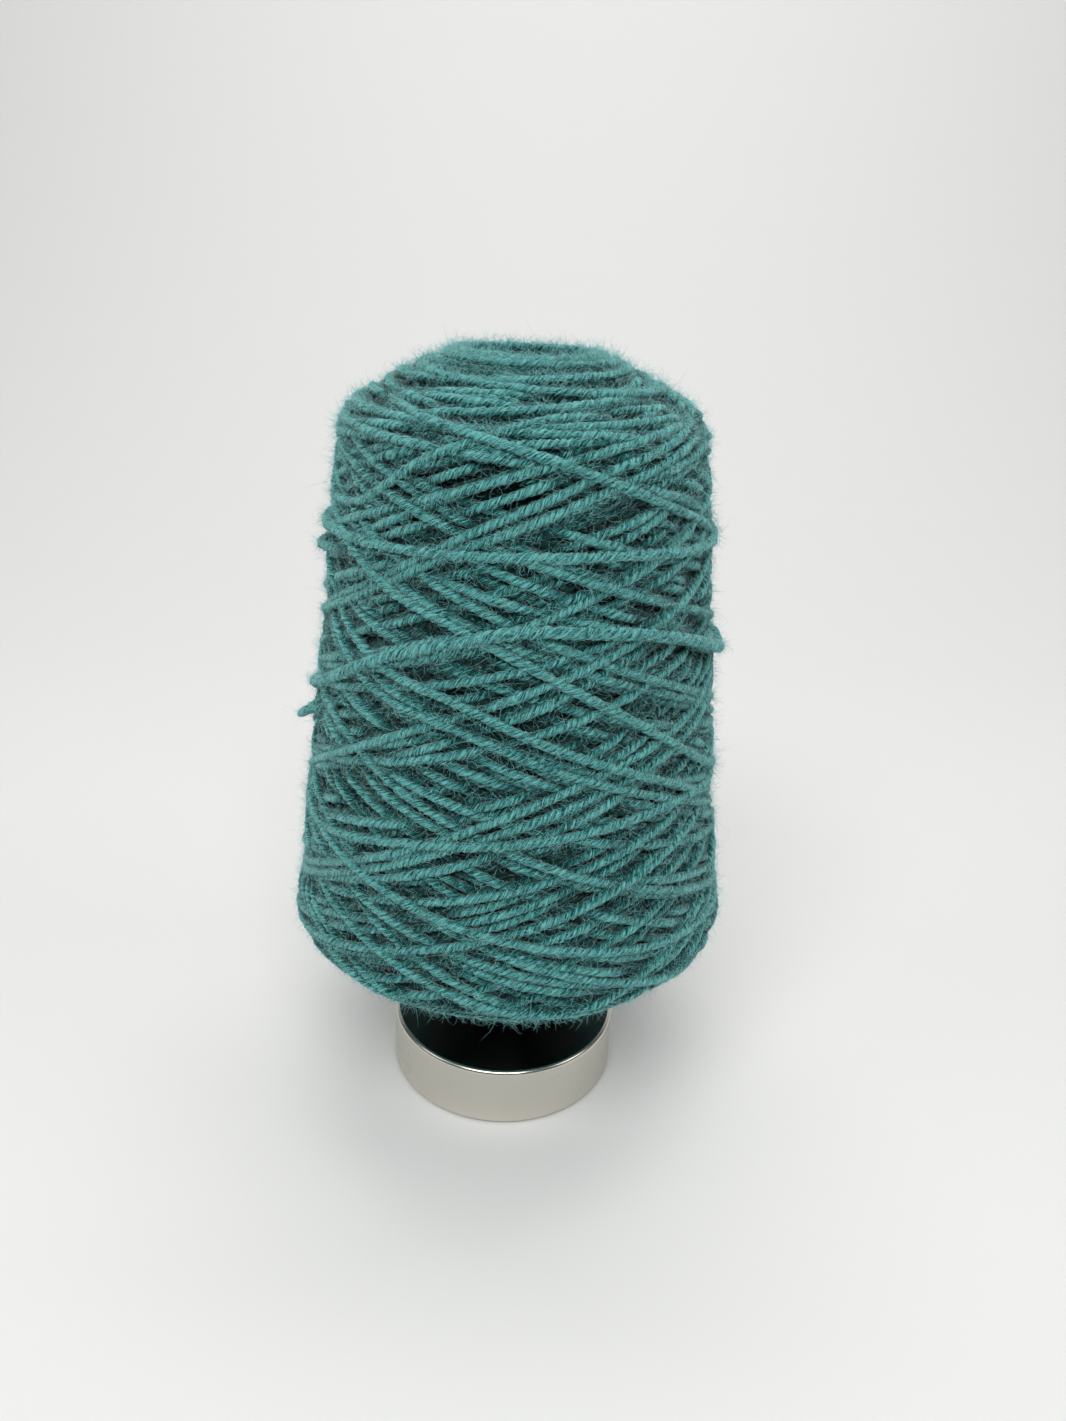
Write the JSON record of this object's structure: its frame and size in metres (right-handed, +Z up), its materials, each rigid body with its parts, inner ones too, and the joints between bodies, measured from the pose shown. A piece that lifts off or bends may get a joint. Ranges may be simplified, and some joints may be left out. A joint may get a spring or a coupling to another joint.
{
  "type": "wool yarn cone on a spinning stand",
  "caption": "Cross-wound cone of teal wool yarn that turns on the ball-bearing spindle of a small weighted steel base.",
  "frame": {"origin": "on the table under the middle of the base, on the spindle's axis", "axes": "+Z up along the spindle, +X to the right and +Y to the back; the object is round, so X and Y are free"},
  "size_m": [0.1044, 0.1044, 0.1792],
  "materials": {
    "polished_steel": "stainless steel, mirror-polished top and satin-turned side",
    "ballast_iron": "turned cast iron, unpainted",
    "plate_steel": "flat ground steel",
    "pad_rubber": "matte black rubber",
    "screw_steel": "zinc-plated steel",
    "spindle_steel": "ground steel rod",
    "bearing_steel": "ground bearing steel",
    "seat_plastic": "black acetal, fine moulded matte",
    "cage_plastic": "natural nylon",
    "core_paper": "spirally wound brown card",
    "teal_wool": "hairy three-ply teal wool yarn",
    "bush_brass": "turned brass"
  },
  "bodies": {
    "base": {"base_shell": "polished_steel", "ballast_disc": "ballast_iron", "bottom_plate": "plate_steel", "foot_pad": "pad_rubber", "plate_screws": "screw_steel", "spindle": "spindle_steel", "spindle_washer": "screw_steel", "spindle_nut": "screw_steel", "bearing_inner_race": "bearing_steel", "bearing_clip": "screw_steel"},
    "rotor": {"cone_seat": "seat_plastic", "bearing_outer_race": "bearing_steel", "bearing_balls": "bearing_steel", "bearing_cage": "cage_plastic", "bearing_lower_shield": "bearing_steel", "bearing_upper_shield": "bearing_steel"},
    "cone": {"cone_core": "core_paper", "yarn_package": "teal_wool"},
    "guide": {"nose_guide": "seat_plastic", "guide_bush": "bush_brass"}
  },
  "joints": [
    {"name": "rotor_spin", "type": "hinge", "parent": "base", "child": "rotor", "pos_m": [0, 0, 0.0218], "axis": [0, 0, 1], "continuous": true},
    {"name": "cone_lift", "type": "slide", "parent": "rotor", "child": "cone", "axis": [0, 0, 1], "range_m": [0, 0.155]},
    {"name": "guide_lift", "type": "slide", "parent": "cone", "child": "guide", "axis": [0, 0, 1], "range_m": [0, 0.02]}
  ]
}
